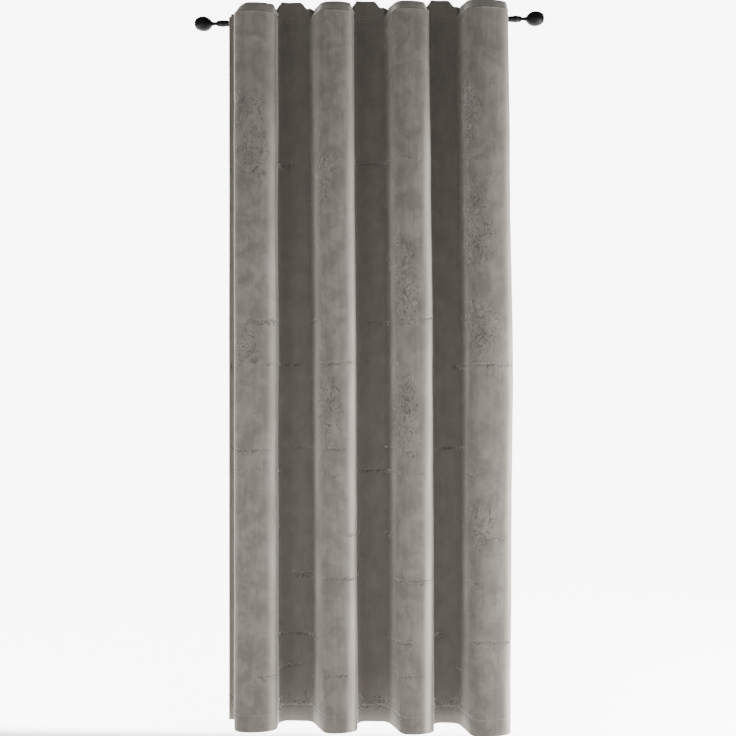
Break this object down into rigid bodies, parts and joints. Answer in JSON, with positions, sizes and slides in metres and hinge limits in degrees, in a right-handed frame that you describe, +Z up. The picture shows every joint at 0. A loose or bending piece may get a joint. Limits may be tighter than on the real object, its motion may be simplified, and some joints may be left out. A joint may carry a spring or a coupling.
{
  "type": "fabric room curtain panel",
  "caption": "Velvet window curtain panel in soft vertical folds, hung by back tabs on a round rod with screw-on egg finials.",
  "frame": {"origin": "middle of the rod's axis, where the pair of wall brackets carries it", "axes": "+X along the rod to the viewer's right, -Y out to the room and the cloth's face, +Z up"},
  "size_m": [1.043, 0.1224, 2.134],
  "materials": {
    "velvet": "matt grey-taupe velvet pile",
    "tab_cloth": "matt woven tape",
    "thread": "spun polyester",
    "black_steel": "satin black",
    "black_resin": "semi-gloss black",
    "bare_steel": "plain zinc plated",
    "nylon": "natural moulded nylon"
  },
  "bodies": {
    "rod": {"rod_tube": "black_steel", "rod_insert_left": "nylon", "rod_insert_right": "nylon"},
    "panel": {"panel_cloth": "velvet", "header_band": "velvet", "bottom_hem": "velvet", "side_hem_left": "velvet", "side_hem_right": "velvet", "header_seam_thread": "thread", "bottom_seam_thread": "thread", "side_seam_thread_left": "thread", "side_seam_thread_right": "thread", "back_tab_1": "tab_cloth"},
    "tab_2": {"back_tab_2": "tab_cloth"},
    "tab_3": {"back_tab_3": "tab_cloth"},
    "tab_4": {"back_tab_4": "tab_cloth"},
    "tab_5": {"back_tab_5": "tab_cloth"},
    "collar_left": {"finial_collar_left": "black_steel"},
    "collar_right": {"finial_collar_right": "black_steel"},
    "finial_left": {"finial_stud_left": "bare_steel", "finial_knob_left": "black_resin"},
    "finial_right": {"finial_stud_right": "bare_steel", "finial_knob_right": "black_resin"}
  },
  "joints": [
    {"name": "panel_swing", "type": "hinge", "parent": "rod", "child": "panel", "pos_m": [0, 0, 0], "axis": [1, 0, 0], "range_deg": [-20, 20], "stiffness_Nm_per_rad": 2.5, "springref_deg": -19.02},
    {"name": "draw", "type": "slide", "parent": "panel", "child": "tab_5", "axis": [1, 0, 0], "range_m": [-0.5396, 0], "deforming": ["panel_cloth", "header_band", "bottom_hem", "side_hem_left", "side_hem_right", "header_seam_thread", "bottom_seam_thread", "side_seam_thread_left", "side_seam_thread_right"]},
    {"name": "tab_2_slide", "type": "slide", "parent": "panel", "child": "tab_2", "axis": [1, 0, 0], "range_m": [-0.1239, 0]},
    {"name": "tab_3_slide", "type": "slide", "parent": "panel", "child": "tab_3", "axis": [1, 0, 0], "range_m": [-0.2728, 0]},
    {"name": "tab_4_slide", "type": "slide", "parent": "panel", "child": "tab_4", "axis": [1, 0, 0], "range_m": [-0.4217, 0]},
    {"name": "finial_left_travel", "type": "slide", "parent": "rod", "child": "collar_left", "axis": [-1, 0, 0], "range_m": [0, 0.0151]},
    {"name": "finial_left_unscrew", "type": "hinge", "parent": "collar_left", "child": "finial_left", "pos_m": [-0.46, 0, 0], "axis": [-1, 0, 0], "range_deg": [0, 5400]},
    {"name": "finial_right_travel", "type": "slide", "parent": "rod", "child": "collar_right", "axis": [1, 0, 0], "range_m": [0, 0.0151]},
    {"name": "finial_right_unscrew", "type": "hinge", "parent": "collar_right", "child": "finial_right", "pos_m": [0.46, 0, 0], "axis": [1, 0, 0], "range_deg": [0, 5400]}
  ],
  "couplings": [
    {"joint": "tab_2_slide", "follows": "draw", "ratio": 0.22873},
    {"joint": "tab_3_slide", "follows": "draw", "ratio": 0.5047},
    {"joint": "tab_4_slide", "follows": "draw", "ratio": 0.78066},
    {"joint": "finial_left_travel", "follows": "finial_left_unscrew", "m_per_rad": 0.00015915},
    {"joint": "finial_right_travel", "follows": "finial_right_unscrew", "m_per_rad": 0.00015915}
  ]
}
